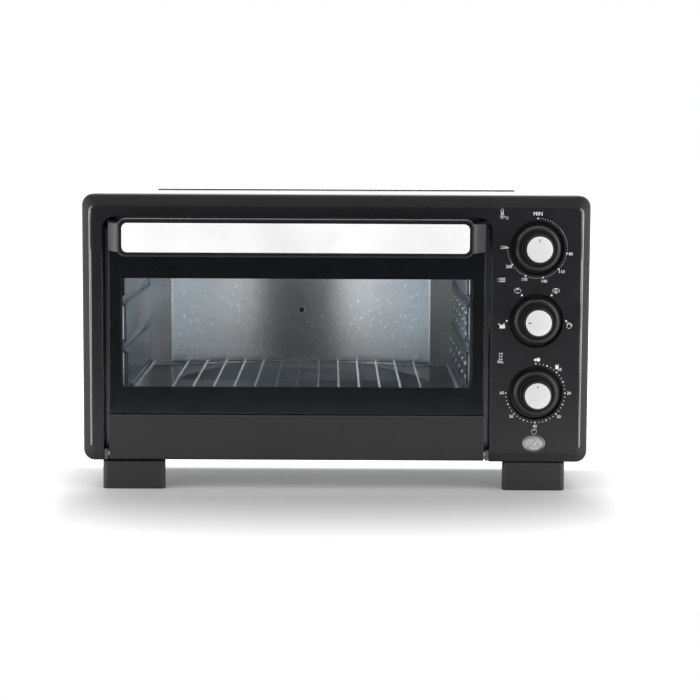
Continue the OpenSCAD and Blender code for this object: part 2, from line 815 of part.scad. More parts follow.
module rack() {
    left = cav_l + rack_in;
    right = cav_r - rack_in;
    half_bow = asin(bow_w / 2 / bow_r) + 0.4;
    cross_z = rack_z - 1;
    bar_z = rack_z + 1.5;
    color([0.78, 0.79, 0.8]) {
        rod_x(left - 1, right + 1, rack_front, cross_z, rim_r);
        rod_x(left - 1, cav_mid - bow_w / 2 + 1, rack_rear, cross_z, rim_r);
        rod_x(cav_mid + bow_w / 2 - 1, right + 1, rack_rear, cross_z, rim_r);
        translate([cav_mid, bow_y, cross_z]) rotate([0, 0, 90 - half_bow])
            rotate_extrude(angle = 2 * half_bow, $fn = 96) translate([bow_r, 0]) circle(rim_r, $fn = 24);
        for (x = [left, right]) rod_y(x, rack_front - 1, rack_rear + 1, bar_z, rim_r);
        for (side = [-1, 1]) {
            edge = cav_mid + side * (cav_r - cav_mid + groove_d - 2.7);
            inner = cav_mid + side * (cav_r - cav_mid - rack_in);
            rod_y(edge, runner_front - 1, rack_rear + 1, rack_z, rim_r);
            for (y = [runner_front, rack_rear - 12])
                rod_x(min(edge, inner), max(edge, inner), y, cross_z, wire_r);
        }
        for (i = [0 : rack_bars - 1]) {
            x = cav_mid + (i - (rack_bars - 1) / 2) * bar_pitch;
            rod_y(x, rack_front, bow_at(x), bar_z, wire_r);
        }
    }
}

module crumb_tray() {
    y0 = cav_front + 6;
    y1 = rear + tray_lip;
    color([0.7, 0.71, 0.72]) difference() {
        union() {
            block(tray_l, tray_r, y0, y1, tray_z, tray_z + sheet);
            for (x = [tray_l, tray_r - sheet])
                block(x, x + sheet, y0, rear - 4, tray_z, tray_z + tray_h);
            block(tray_l, tray_r, y0, y0 + sheet, tray_z, tray_z + tray_h);
            block(tray_l, tray_r, cav_rear - 8, cav_rear - 8 + sheet, tray_z, tray_z + tray_h);
        }
        for (x = [cav_mid - tray_notch_x, cav_mid + tray_notch_x])
            translate([x, rear + tray_lip, tray_z - 1]) cylinder(h = sheet + 3, r = tray_notch_r);
    }
}

// ---- Nodes ----

front_frame();
wrapper();
rear_cover();
base_plate();
foot_front_left();
foot_front_right();
foot_rear_left();
foot_rear_right();
left_wall();
right_wall();
ceiling();
cavity_floor();
cavity_back();
front_flange();
heat_shield();
heater_upper_front();
heater_upper_rear();
heater_lower_front();
heater_lower_rear();
heater_insulators();
switch_bracket();
bracket_screws();
thermostat();
thermostat_probe();
function_switch();
timer();
timer_bell();
indicator_lens();
indicator_lamp();
cord_gland();
terminal_block();
wall_spacers();
cover_screws();
hinge_bracket_left();
hinge_bracket_right();
hinge_spring_left();
hinge_spring_right();
door_frame();
door_glass();
door_panel();
handle_bar();
handle_plate();
handle_bracket_left();
handle_bracket_right();
handle_screws();
hinge_pin_left();
hinge_pin_right();
hinge_arm_left();
hinge_arm_right();
thermostat_knob();
thermostat_cap();
thermostat_shaft();
function_knob();
function_cap();
function_shaft();
timer_knob();
timer_cap();
timer_shaft();
rack();
crumb_tray();
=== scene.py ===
"""Counter-top toaster oven: the finished look of every piece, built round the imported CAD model."""
import math

import bmesh
import bpy
from mathutils import Matrix, Vector


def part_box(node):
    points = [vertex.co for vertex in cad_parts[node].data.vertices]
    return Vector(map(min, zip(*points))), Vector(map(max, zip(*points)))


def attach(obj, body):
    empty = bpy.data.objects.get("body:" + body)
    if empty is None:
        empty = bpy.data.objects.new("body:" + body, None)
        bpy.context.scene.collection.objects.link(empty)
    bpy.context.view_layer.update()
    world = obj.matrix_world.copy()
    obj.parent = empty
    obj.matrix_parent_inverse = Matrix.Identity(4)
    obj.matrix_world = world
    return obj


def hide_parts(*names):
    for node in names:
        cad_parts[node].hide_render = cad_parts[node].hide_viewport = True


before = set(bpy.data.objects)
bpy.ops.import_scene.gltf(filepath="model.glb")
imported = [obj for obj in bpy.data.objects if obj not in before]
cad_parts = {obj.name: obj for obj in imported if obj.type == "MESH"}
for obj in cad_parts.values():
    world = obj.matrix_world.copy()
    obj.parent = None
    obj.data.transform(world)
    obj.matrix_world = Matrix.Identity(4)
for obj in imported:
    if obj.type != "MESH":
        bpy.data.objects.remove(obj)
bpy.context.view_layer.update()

MM = 0.001

# ---------------------------------------------------------------------------
# Camera and studio
# A long lens looks slightly down on the front. A white dome lights everything evenly, apart from a dark
# patch round the camera, which the glass and black mouldings reflect. Two small lamps light the cavity.

casing_low, casing_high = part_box("front_frame")
front = casing_low.y

camera_data = bpy.data.cameras.new("camera")
camera_data.lens = 103.75
camera_data.sensor_width = 36
camera_data.shift_x = 0.0190
camera_data.shift_y = 0.0016
camera = bpy.data.objects.new("camera", camera_data)
camera.location = (0.0, front - 1.783, 0.315)
camera.rotation_euler = (math.radians(90 - 6.07), math.radians(-0.27), 0)
bpy.context.collection.objects.link(camera)
bpy.context.scene.camera = camera
bpy.context.scene.view_settings.view_transform = "Standard"

WHITE = (1.0, 1.0, 1.0, 1.0)
patch_half_width = (0.28, 0.42)
patch_ceiling = (0.45, 0.62)
patch_behind = (-0.5, -0.1)
dome_level = 1.16
back_gain = 1.35
patch_level = 0.1
flank_edge = (0.52, 0.68)
flank_ceiling = (0.35, 0.6)
flank_level = 0.3

surround = bpy.data.worlds.new("white_dome")
surround.use_nodes = True
bpy.context.scene.world = surround
nodes = surround.node_tree.nodes
links = surround.node_tree.links
nodes.clear()
direction = nodes.new("ShaderNodeTexCoord")
parts = nodes.new("ShaderNodeSeparateXYZ")
links.new(direction.outputs["Generated"], parts.inputs[0])
sideways = nodes.new("ShaderNodeMath")
sideways.operation = "ABSOLUTE"
links.new(parts.outputs["X"], sideways.inputs[0])


def smooth_step(value, limits, low, high):
    ramp = nodes.new("ShaderNodeMapRange")
    ramp.interpolation_type = "SMOOTHSTEP"
    ramp.inputs["From Min"].default_value, ramp.inputs["From Max"].default_value = limits
    ramp.inputs["To Min"].default_value = low
    ramp.inputs["To Max"].default_value = high
    links.new(value, ramp.inputs["Value"])
    return ramp.outputs["Result"]


def combined(operation, one, other):
    maths = nodes.new("ShaderNodeMath")
    maths.operation = operation
    links.new(one, maths.inputs[0])
    links.new(other, maths.inputs[1])
    return maths.outputs[0]


outside = combined("MAXIMUM",
                   smooth_step(sideways.outputs[0], patch_half_width, patch_level, dome_level),
                   combined("MAXIMUM",
                            smooth_step(parts.outputs["Z"], patch_ceiling, patch_level, dome_level),
                            smooth_step(parts.outputs["Y"], patch_behind, patch_level, dome_level)))
flanks = combined("MULTIPLY", smooth_step(sideways.outputs[0], flank_edge, 0.0, flank_level),
                  smooth_step(parts.outputs["Z"], flank_ceiling, 1.0, 0.0))
flanks = combined("MULTIPLY", flanks, smooth_step(parts.outputs["Y"], patch_behind, 1.0, 0.0))
whole = combined("MULTIPLY", outside, smooth_step(parts.outputs["Y"], (-0.3, 0.4), 1.0, back_gain))
dome = nodes.new("ShaderNodeBackground")
dome.inputs["Color"].default_value = WHITE
links.new(combined("ADD", whole, flanks), dome.inputs["Strength"])
backdrop = nodes.new("ShaderNodeBackground")
backdrop.inputs["Color"].default_value = WHITE
seen = nodes.new("ShaderNodeLightPath")
either = nodes.new("ShaderNodeMixShader")
links.new(seen.outputs["Is Camera Ray"], either.inputs["Fac"])
links.new(dome.outputs[0], either.inputs[1])
links.new(backdrop.outputs[0], either.inputs[2])
world_out = nodes.new("ShaderNodeOutputWorld")
links.new(either.outputs[0], world_out.inputs["Surface"])


def softbox(name, size, place, aim, power):
    data = bpy.data.lights.new(name, "AREA")
    data.shape = "RECTANGLE"
    data.size, data.size_y = size
    data.energy = power
    lamp = bpy.data.objects.new(name, data)
    lamp.location = place
    lamp.visible_camera = False
    lamp.rotation_euler = (Vector(aim) - Vector(place)).to_track_quat("-Z", "Y").to_euler()
    bpy.context.collection.objects.link(lamp)


softbox("light_behind", (2.4, 1.2), (0.0, 1.5, 1.9), (0.0, 0.0, 0.1), 22)
softbox("light_left", (0.3, 1.6), (-1.7, -0.9, 0.7), (0.0, 0.0, 0.15), 5)
softbox("light_right", (0.3, 1.6), (1.7, -0.9, 0.7), (0.0, 0.0, 0.15), 6)

mouth_lamp_x = 0.13
mouth_lamp_z = 0.15
mouth_lamp_power = 0.01
for side in (-1, 1):
    softbox("light_mouth", (0.02, 0.12), (side * mouth_lamp_x, front + 0.03, mouth_lamp_z),
            (side * 0.1, 0.15, mouth_lamp_z), mouth_lamp_power)

floor_mesh = bpy.data.meshes.new("floor")
reach = 30.0
floor_front = -0.6
floor_mesh.from_pydata([(-reach, floor_front, 0), (reach, floor_front, 0), (reach, reach, 0),
                        (-reach, reach, 0)], [], [(0, 1, 2, 3)])
floor = bpy.data.objects.new("floor", floor_mesh)
bpy.context.collection.objects.link(floor)

# The floor carries painted light: its colour is darkened in a soft blob in front of the oven, a painted
# shadow, and it glows under the oven's rear, a painted glow though it is no lamp
shade_line = -0.022
shade_start = -0.17
shade_end = -0.44
shade_side = (0.215, 0.27)
floor_paint = bpy.data.materials.new("painted_shadow_and_glow_floor")
floor_paint.use_nodes = True
nodes = floor_paint.node_tree.nodes
links = floor_paint.node_tree.links
floor_place = nodes.new("ShaderNodeTexCoord")
parts = nodes.new("ShaderNodeSeparateXYZ")
links.new(floor_place.outputs["Object"], parts.inputs[0])
sideways = nodes.new("ShaderNodeMath")
sideways.operation = "ABSOLUTE"
links.new(parts.outputs["X"], sideways.inputs[0])
within = smooth_step(sideways.outputs[0], shade_side, 1.0, 0.0)
# Painted shadow: the floor colour falls from 0.94 to 0.56 in front of the oven
painted_shadow_mask = combined("MULTIPLY", smooth_step(parts.outputs["Y"], (shade_end, shade_start), 0.0, 1.0), within)
painted_shadow_mask = combined("MULTIPLY", painted_shadow_mask, smooth_step(parts.outputs["Y"], (-0.05, 0.0), 1.0, 0.0))
painted_shadow_ramp = nodes.new("ShaderNodeMapRange")
painted_shadow_ramp.inputs["To Min"].default_value = 0.94
painted_shadow_ramp.inputs["To Max"].default_value = 0.56
links.new(painted_shadow_mask, painted_shadow_ramp.inputs["Value"])
painted_shadow_tone = nodes.new("ShaderNodeCombineColor")
for channel in painted_shadow_tone.inputs:
    links.new(painted_shadow_ramp.outputs["Result"], channel)
floor_shader = nodes["Principled BSDF"]
links.new(painted_shadow_tone.outputs[0], floor_shader.inputs["Base Color"])
# Painted glow: emission under the oven's rear, fading out towards the front
painted_glow_beneath = combined("MULTIPLY", within, smooth_step(parts.outputs["Y"], (0.16, 0.3), 1.0, 0.0))
glow_rear = smooth_step(parts.outputs["Y"], (shade_line - 0.012, shade_line + 0.012), 0.11, 1.0)
glow_front = smooth_step(parts.outputs["Y"], (-0.2, -0.12), 0.0, 1.0)
links.new(combined("MULTIPLY", combined("MULTIPLY", painted_glow_beneath, glow_front), glow_rear),
          floor_shader.inputs["Emission Strength"])
floor_shader.inputs["Emission Color"].default_value = WHITE
floor_shader.inputs["Roughness"].default_value = 0.6
floor_shader.inputs["Specular IOR Level"].default_value = 0.2
floor_mesh.materials.append(floor_paint)

# ---------------------------------------------------------------------------
# Front frame
# One satin black moulding that carries the controls and surrounds the door. The moulded skin has a fine
# spark-eroded grain, and the edges near its face are eased.


def new_group(name, inputs, outputs):
    group = bpy.data.node_groups.new(name, "ShaderNodeTree")
    for label, kind, value in inputs:
        socket = group.interface.new_socket(name=label, in_out="INPUT", socket_type=kind)
        socket.default_value = value
    for label, kind in outputs:
        group.interface.new_socket(name=label, in_out="OUTPUT", socket_type=kind)
    return group, group.nodes.new("NodeGroupInput"), group.nodes.new("NodeGroupOutput")


def noise(tree, coordinates, scale, detail=3.0):
    texture = tree.nodes.new("ShaderNodeTexNoise")
    texture.inputs["Detail"].default_value = detail
    tree.links.new(coordinates, texture.inputs["Vector"])
    if isinstance(scale, float):
        texture.inputs["Scale"].default_value = scale
    else:
        tree.links.new(scale, texture.inputs["Scale"])
    return texture.outputs["Fac"]


def spread(tree, value, low, high, start=0.3, stop=0.7):
    ramp = tree.nodes.new("ShaderNodeMapRange")
    ramp.inputs["From Min"].default_value = start
    ramp.inputs["From Max"].default_value = stop
    for socket, end in (("To Min", low), ("To Max", high)):
        if isinstance(end, float):
            ramp.inputs[socket].default_value = end
        else:
            tree.links.new(end, ramp.inputs[socket])
    tree.links.new(value, ramp.inputs["Value"])
    return ramp.outputs["Result"]


def tinted(tree, base, amount):
    mix = tree.nodes.new("ShaderNodeMix")
    mix.data_type = "RGBA"
    mix.blend_type = "MULTIPLY"
    mix.inputs["Factor"].default_value = 1.0
    tree.links.new(base, mix.inputs["A"])
    tree.links.new(amount, mix.inputs["B"])
    return mix.outputs["Result"]


# Grain of a moulded or painted skin: slow changes of tone, a fine texture and faint handling marks
grain, grain_in, grain_out = new_group(
    "surface_grain",
    [("Tone", "NodeSocketColor", (0.03, 0.03, 0.03, 1)), ("Grain Scale", "NodeSocketFloat", 2600.0),
     ("Smoothest", "NodeSocketFloat", 0.3), ("Roughest", "NodeSocketFloat", 0.4),
     ("Mottle Scale", "NodeSocketFloat", 14.0), ("Darkest", "NodeSocketFloat", 0.9),
     ("Palest", "NodeSocketFloat", 1.1)],
    [("Color", "NodeSocketColor"), ("Roughness", "NodeSocketFloat"), ("Height", "NodeSocketFloat")])
grain_place = grain.nodes.new("ShaderNodeTexCoord").outputs["Object"]
grain_tone = spread(grain, noise(grain, grain_place, grain_in.outputs["Mottle Scale"]),
                    grain_in.outputs["Darkest"], grain_in.outputs["Palest"])
grain_fine = noise(grain, grain_place, grain_in.outputs["Grain Scale"], 2.0)
grain_marks = noise(grain, grain_place, 60.0, 6.0)
grain.links.new(tinted(grain, grain_in.outputs["Tone"], grain_tone), grain_out.inputs["Color"])
grain.links.new(spread(grain, grain_marks, grain_in.outputs["Smoothest"], grain_in.outputs["Roughest"]),
                grain_out.inputs["Roughness"])
grain.links.new(grain_fine, grain_out.inputs["Height"])


def dressed(name, group, settings, bump, height, plain):
    """A material whose colour, roughness and relief come from a group. plain sets shader sockets."""
    material = bpy.data.materials.new(name)
    material.use_nodes = True
    tree = material.node_tree
    shader = tree.nodes["Principled BSDF"]
    surface = tree.nodes.new("ShaderNodeGroup")
    surface.node_tree = group
    for socket, value in settings.items():
        surface.inputs[socket].default_value = value
    relief = tree.nodes.new("ShaderNodeBump")
    relief.inputs["Strength"].default_value = bump
    relief.inputs["Distance"].default_value = height
    tree.links.new(surface.outputs["Color"], shader.inputs["Base Color"])
    tree.links.new(surface.outputs["Roughness"], shader.inputs["Roughness"])
    tree.links.new(surface.outputs["Height"], relief.inputs["Height"])
    tree.links.new(relief.outputs["Normal"], shader.inputs["Normal"])
    for socket, value in plain.items():
        shader.inputs[socket].default_value = value
    return material


def skin(name, tone, smooth, rough, grain_scale=2600.0, bump=0.25, height=0.00006, plain={},
         mottle=(14.0, 0.9, 1.1)):
    settings = {"Tone": (*tone, 1), "Grain Scale": grain_scale, "Smoothest": smooth, "Roughest": rough,
                "Mottle Scale": mottle[0], "Darkest": mottle[1], "Palest": mottle[2]}
    return dressed(name, grain, settings, bump, height, plain)


def settle(piece):
    """Turns a piece's modifiers into its plain mesh."""
    bpy.context.view_layer.update()
    depsgraph = bpy.context.evaluated_depsgraph_get()
    mesh = bpy.data.meshes.new_from_object(piece.evaluated_get(depsgraph), depsgraph=depsgraph)
    piece.modifiers.clear()
    piece.data = mesh
    return piece


def placed(name, mesh):
    piece = bpy.data.objects.new(name, mesh)
    bpy.context.collection.objects.link(piece)
    return piece


def eased(node, name, width, chosen=lambda middle: True, segments=3, bend=28):
    """A copy of a CAD piece with chosen edges rounded by width, where faces bend by enough degrees."""
    mesh = bpy.data.meshes.new(name)
    bm = bmesh.new()
    bm.from_mesh(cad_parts[node].data)
    bmesh.ops.remove_doubles(bm, verts=bm.verts, dist=2e-6)
    bmesh.ops.dissolve_limit(bm, angle_limit=math.radians(0.5), verts=bm.verts, edges=bm.edges)
    weight = bm.edges.layers.float.new("bevel_weight_edge")
    for edge in bm.edges:
        middle = (edge.verts[0].co + edge.verts[1].co) / 2
        sharp = len(edge.link_faces) == 2 and edge.calc_face_angle(0) > math.radians(bend)
        edge[weight] = 1.0 if sharp and chosen(middle) else 0.0
    bm.to_mesh(mesh)
    bm.free()
    piece = placed(name, mesh)
    bevel = piece.modifiers.new("eased", "BEVEL")
    bevel.limit_method = "WEIGHT"
    bevel.width = width
    bevel.segments = segments
    bevel.use_clamp_overlap = False
    mesh.shade_smooth()
    mesh.set_sharp_from_angle(angle=math.radians(35))
    flat = piece.modifiers.new("flat_faces", "WEIGHTED_NORMAL")
    flat.keep_sharp = True
    return settle(piece)


def finished(piece, body, slot, material, *nodes_replaced):
    piece.data.materials.clear()
    piece.data.materials.append(material)
    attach(piece, body)
    if nodes_replaced:
        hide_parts(*nodes_replaced)
    return piece


def coated(node, material):
    for material_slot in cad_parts[node].material_slots:
        material_slot.material = material


frame_black = skin("frame_black", (0.0105, 0.011, 0.012), 0.27, 0.33, 3200.0, 0.15)
casing = eased("front_frame", "moulded_frame", 0.75 * MM, lambda at: at.y < front + 5 * MM, bend=12.5)
finished(casing, "oven", "frame_plastic", frame_black, "front_frame")

# Glossier beads run down both sides of the face, where the flat face meets the sloping band
bead_in = 7.3 * MM
bead_low = 14 * MM
bead_top = 11 * MM
bead_turn = 5 * MM
bead_r = 1.3 * MM
bead_sunk = 0.8 * MM
bead_taper = 0.66
bead_lean = 0.06 * MM
bead_black = skin("bead_black", (0.014, 0.014, 0.015), 0.16, 0.22, 3200.0, 0.1,
                  plain={"IOR": 2.3, "Coat Weight": 1.0, "Coat Roughness": 0.12, "Coat IOR": 2.3})


def swept(name, points, radius, first=1.0):
    """A round bar through points. first is the share of the radius at the first point."""
    line = bpy.data.curves.new(name, "CURVE")
    line.dimensions = "3D"
    line.bevel_depth = radius
    line.bevel_resolution = 3
    line.use_fill_caps = True
    path = line.splines.new("POLY")
    path.points.add(len(points) - 1)
    for point, place in zip(path.points, points):
        point.co = (*place, 1)
    path.points[0].radius = first
    bar = bpy.data.objects.new(name, line)
    bpy.context.collection.objects.link(bar)
    mesh = bpy.data.meshes.new_from_object(bar)
    bpy.data.objects.remove(bar)
    mesh.shade_smooth()
    return placed(name, mesh)


for side, name in ((-1, "left"), (1, "right")):
    edge_x = casing_high.x if side > 0 else casing_low.x
    turn_x = edge_x - side * (bead_in + bead_turn)
    turn_z = casing_high.z - bead_top - bead_turn
    path = [(edge_x - side * bead_in, front + bead_sunk, casing_low.z + bead_low)]
    for step in range(7):
        turn = math.radians(10 * step)
        path.append((turn_x + side * bead_turn * math.cos(turn), front + bead_sunk + bead_lean * step,
                     turn_z + bead_turn * math.sin(turn)))
    finished(swept("face_bead_" + name, path, bead_r, bead_taper), "oven", "frame_plastic", bead_black)

# ---------------------------------------------------------------------------
# Wrapper, rear cover and base
# Folded sheet. The outside is stove-painted black, and the base is left bare galvanised.

cover_black = skin("cover_black", (0.012, 0.012, 0.0135), 0.16, 0.22, 900.0, 0.06, 0.00003,
                   {"Coat Weight": 0.35, "Coat Roughness": 0.06, "Coat IOR": 1.5})
finished(eased("wrapper", "folded_wrapper", 0.3 * MM), "oven", "black_paint", cover_black, "wrapper")
finished(eased("rear_cover", "pressed_rear_cover", 0.2 * MM), "oven", "black_paint", cover_black,
         "rear_cover")

# The wrapper's rear edge is folded up into a low rounded hem
hem_half = 184 * MM
hem_r = 0.75 * MM
cover_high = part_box("wrapper")[1]
hem_ends = ((-hem_half - 2 * MM, -1.2 * MM), (-hem_half, 0.35 * MM), (hem_half, 0.35 * MM),
            (hem_half + 2 * MM, -1.2 * MM))
hem_path = [(x, cover_high.y - 2 * MM, cover_high.z + rise) for x, rise in hem_ends]
finished(swept("rear_hem", hem_path, hem_r), "oven", "black_paint", frame_black)

# Rolled sheet: long faint streaks along one direction over a soft spangle
rolled, rolled_in, rolled_out = new_group(
    "rolled_sheet",
    [("Tone", "NodeSocketColor", (0.6, 0.6, 0.6, 1)),
     ("Streak", "NodeSocketVector", (40.0, 900.0, 900.0)),
     ("Smoothest", "NodeSocketFloat", 0.25), ("Roughest", "NodeSocketFloat", 0.4)],
    [("Color", "NodeSocketColor"), ("Roughness", "NodeSocketFloat"), ("Height", "NodeSocketFloat")])
rolled_place = rolled.nodes.new("ShaderNodeTexCoord").outputs["Object"]
stretched = rolled.nodes.new("ShaderNodeVectorMath")
stretched.operation = "MULTIPLY"
rolled.links.new(rolled_place, stretched.inputs[0])
rolled.links.new(rolled_in.outputs["Streak"], stretched.inputs[1])
streaks = noise(rolled, stretched.outputs["Vector"], 1.0, 4.0)
spangle = rolled.nodes.new("ShaderNodeTexVoronoi")
spangle.inputs["Scale"].default_value = 220.0
rolled.links.new(rolled_place, spangle.inputs["Vector"])
spangle_grey = rolled.nodes.new("ShaderNodeSeparateColor")
rolled.links.new(spangle.outputs["Color"], spangle_grey.inputs["Color"])
spangle_tone = spread(rolled, spangle_grey.outputs[0], 0.96, 1.04, 0.0, 1.0)
rolled.links.new(tinted(rolled, rolled_in.outputs["Tone"], spangle_tone), rolled_out.inputs["Color"])
rolled.links.new(spread(rolled, streaks, rolled_in.outputs["Smoothest"], rolled_in.outputs["Roughest"]),
                 rolled_out.inputs["Roughness"])
rolled.links.new(streaks, rolled_out.inputs["Height"])


def sheet_metal(name, tone, smooth, rough, streak=(40.0, 900.0, 900.0), bump=0.06, height=0.00003):
    settings = {"Tone": (*tone, 1), "Streak": streak, "Smoothest": smooth, "Roughest": rough}
    return dressed(name, rolled, settings, bump, height, {"Metallic": 1.0})


galvanised = sheet_metal("galvanised_sheet", (0.5, 0.51, 0.52), 0.34, 0.48)
for node in ("base_plate", "heat_shield", "switch_bracket"):
    coated(node, galvanised)

# ---------------------------------------------------------------------------
# Cavity
# Aluminised sheet with a soft sheen. The grooves and the bulge are pressed, so their edges are round, and
# the side walls curve outwards at the mouth.

wall_metal = sheet_metal("aluminised_sheet", (0.64, 0.71, 0.76), 0.2, 0.26, (600.0, 30.0, 600.0), 0.015)
back_metal = sheet_metal("drawn_sheet", (0.88, 0.92, 0.95), 0.27, 0.33, (420.0, 420.0, 260.0), 0.0)
# The mouth flange is coloured much darker than the cavity sheet: painted shade for the dark gap round the
# door
mouth_shade_metal = sheet_metal("mouth_painted_shade_sheet", (0.2, 0.21, 0.22), 0.3, 0.42)
for node in ("ceiling", "cavity_floor"):
    coated(node, wall_metal)
coated("front_flange", mouth_shade_metal)
for side in ("left", "right"):
    finished(eased(side + "_wall", "pressed_wall_" + side, 0.9 * MM), "oven", "aluminised", wall_metal,
             side + "_wall")
finished(eased("cavity_back", "drawn_back", 1.0 * MM, segments=4), "oven", "aluminised", back_metal,
         "cavity_back")


def node_maths(tree, operation, one, other=0.0):
    maths = tree.nodes.new("ShaderNodeMath")
    maths.operation = operation
    for socket, value in zip(maths.inputs, (one, other)):
        if isinstance(value, float):
            socket.default_value = value
        else:
            tree.links.new(value, socket)
    return maths.outputs[0]


def made_by(name, group, settings, offset):
    """The plain mesh that a geometry group makes, moved into place."""
    piece = placed(name, bpy.data.meshes.new(name))
    maker = piece.modifiers.new("maker", "NODES")
    maker.node_group = group
    for item in group.interface.items_tree:
        if item.in_out == "INPUT":
            maker[item.identifier] = settings[item.name]
    settle(piece)
    piece.data.transform(Matrix.Translation(offset))
    return piece


def geometry_group(name, inputs):
    group = bpy.data.node_groups.new(name, "GeometryNodeTree")
    for label, kind in inputs:
        group.interface.new_socket(name=label, in_out="INPUT", socket_type="NodeSocket" + kind)
    group.interface.new_socket(name="Geometry", in_out="OUTPUT", socket_type="NodeSocketGeometry")
    return group, group.nodes.new("NodeGroupInput"), group.nodes.new("NodeGroupOutput")


def copies_out(group, points, shape, turn, material, group_out):
    """Copies a shape to points, turned, made real and given a material."""
    copies = group.nodes.new("GeometryNodeInstanceOnPoints")
    copies.inputs["Rotation"].default_value = turn
    group.links.new(points, copies.inputs["Points"])
    group.links.new(shape, copies.inputs["Instance"])
    real = group.nodes.new("GeometryNodeRealizeInstances")
    group.links.new(copies.outputs[0], real.inputs[0])
    painted = group.nodes.new("GeometryNodeSetMaterial")
    group.links.new(real.outputs[0], painted.inputs["Geometry"])
    group.links.new(material, painted.inputs["Material"])
    group.links.new(painted.outputs[0], group_out.inputs["Geometry"])


# Punched holes: a row of raised rims along Y, each turned to face across the cavity
rim_row, rim_in, rim_out = geometry_group("rim_row", (("Count", "Int"), ("Step", "Float"),
                                                      ("Rim Radius", "Float"), ("Metal", "Material")))
rim_place = rim_row.nodes.new("ShaderNodeCombineXYZ")
rim_row.links.new(node_maths(rim_row, "MULTIPLY", rim_row.nodes.new("GeometryNodeInputIndex").outputs[0],
                             rim_in.outputs["Step"]), rim_place.inputs["Y"])
rim_points = rim_row.nodes.new("GeometryNodePoints")
rim_row.links.new(rim_in.outputs["Count"], rim_points.inputs["Count"])
rim_row.links.new(rim_place.outputs[0], rim_points.inputs["Position"])
rim_circle = rim_row.nodes.new("GeometryNodeCurvePrimitiveCircle")
rim_circle.inputs["Resolution"].default_value = 20
rim_row.links.new(rim_in.outputs["Rim Radius"], rim_circle.inputs["Radius"])
rim_tube = rim_row.nodes.new("GeometryNodeCurvePrimitiveCircle")
rim_tube.inputs["Resolution"].default_value = 8
rim_tube.inputs["Radius"].default_value = 0.9 * MM
rim_mesh = rim_row.nodes.new("GeometryNodeCurveToMesh")
rim_row.links.new(rim_circle.outputs[0], rim_mesh.inputs["Curve"])
rim_row.links.new(rim_tube.outputs[0], rim_mesh.inputs["Profile Curve"])
copies_out(rim_row, rim_points.outputs[0], rim_mesh.outputs[0], (0, math.pi / 2, 0),
           rim_in.outputs["Metal"], rim_out)
# The rims are coloured paler than the wall sheet they are pressed from: a painted highlight for the
# bright holes
rim_painted_highlight = skin("punched_rim", (0.9, 0.92, 0.94), 0.24, 0.32, 1400.0, 0.05, plain={"Metallic": 1.0})
punched_low, punched_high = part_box("right_wall")
hole_first = 8 * MM
hole_count = 6
hole_step = (punched_high.y - punched_low.y - 22 * MM) / (hole_count - 1)
for number, rise in enumerate((50, 62, 89, 98.5, 108.5)):
    settings = {"Count": hole_count, "Step": hole_step, "Rim Radius": 2.0 * MM, "Metal": rim_painted_highlight}
    rims = made_by(f"punched_rims_{number}", rim_row, settings,
                   (punched_low.x, punched_low.y + hole_first, punched_low.z + rise * MM))
    rims.data.shade_smooth()
    finished(rims, "oven", "aluminised", rim_painted_highlight)

# Small plates close the rear ends of the pressed grooves
groove_h = 11 * MM
groove_d = 6.5 * MM
end_t = 0.4 * MM
mouth_low, mouth_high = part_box("cavity_floor")
ends = bmesh.new()
for x0, x1 in ((mouth_low.x - groove_d, mouth_low.x + 1 * MM),
               (mouth_high.x - 1 * MM, mouth_high.x + groove_d)):
    for rise in (35, 77, 119):
        middle = Vector(((x0 + x1) / 2, punched_high.y + end_t, punched_low.z + rise * MM))
        size = Matrix.Diagonal((x1 - x0, end_t, groove_h, 1))
        bmesh.ops.create_cube(ends, size=1.0, matrix=Matrix.Translation(middle) @ size)
ends_mesh = bpy.data.meshes.new("groove_ends")
ends.to_mesh(ends_mesh)
ends.free()
finished(placed("groove_ends", ends_mesh), "oven", "aluminised", wall_metal)

heater_metal = skin("heater_sheath", (0.16, 0.15, 0.14), 0.35, 0.55, 900.0, 0.2, plain={"Metallic": 1.0})
for node in ("heater_upper_front", "heater_upper_rear", "heater_lower_front", "heater_lower_rear"):
    coated(node, heater_metal)
coated("heater_insulators", skin("white_ceramic", (0.8, 0.78, 0.72), 0.5, 0.7, 1800.0, 0.3))

# ---------------------------------------------------------------------------
# Controls and small hidden parts
# Cream and dark mouldings, zinc-plated steel, a copper capillary and a brass bell.

zinc = skin("zinc_plate", (0.72, 0.73, 0.75), 0.2, 0.34, 1400.0, 0.15, plain={"Metallic": 1.0})
for node in ("bracket_screws", "hinge_spring_left", "hinge_spring_right", "handle_screws",
             "hinge_pin_left", "hinge_pin_right", "hinge_arm_left", "hinge_arm_right",
             "thermostat_shaft", "function_shaft", "timer_shaft", "timer", "cover_screws"):
    coated(node, zinc)
# The hinge brackets are coloured near black: painted shade for the dark gap at the door's lower corners
hinge_shade_steel = skin("hinge_painted_shade_steel", (0.16, 0.16, 0.165), 0.3, 0.42, 1400.0, 0.15, plain={"Metallic": 1.0})
for node in ("hinge_bracket_left", "hinge_bracket_right"):
    coated(node, hinge_shade_steel)
cream = skin("cream_moulding", (0.62, 0.6, 0.52), 0.4, 0.55)
for node in ("thermostat", "function_switch", "terminal_block"):
    coated(node, cream)
copper = skin("copper", (0.75, 0.4, 0.24), 0.22, 0.36, 1200.0, 0.15, plain={"Metallic": 1.0})
coated("thermostat_probe", copper)
brass = skin("bell_brass", (0.7, 0.56, 0.3), 0.25, 0.4, 1200.0, 0.15, plain={"Metallic": 1.0})
coated("timer_bell", brass)
coated("cord_gland", skin("gland_rubber", (0.018, 0.018, 0.018), 0.6, 0.75, 1800.0, 0.5))
coated("indicator_lamp", skin("lamp_glass", (0.8, 0.35, 0.2), 0.1, 0.2, 900.0, 0.05))

# ---------------------------------------------------------------------------
# Feet and wall spacers
# Hollow black mouldings screwed to the base.

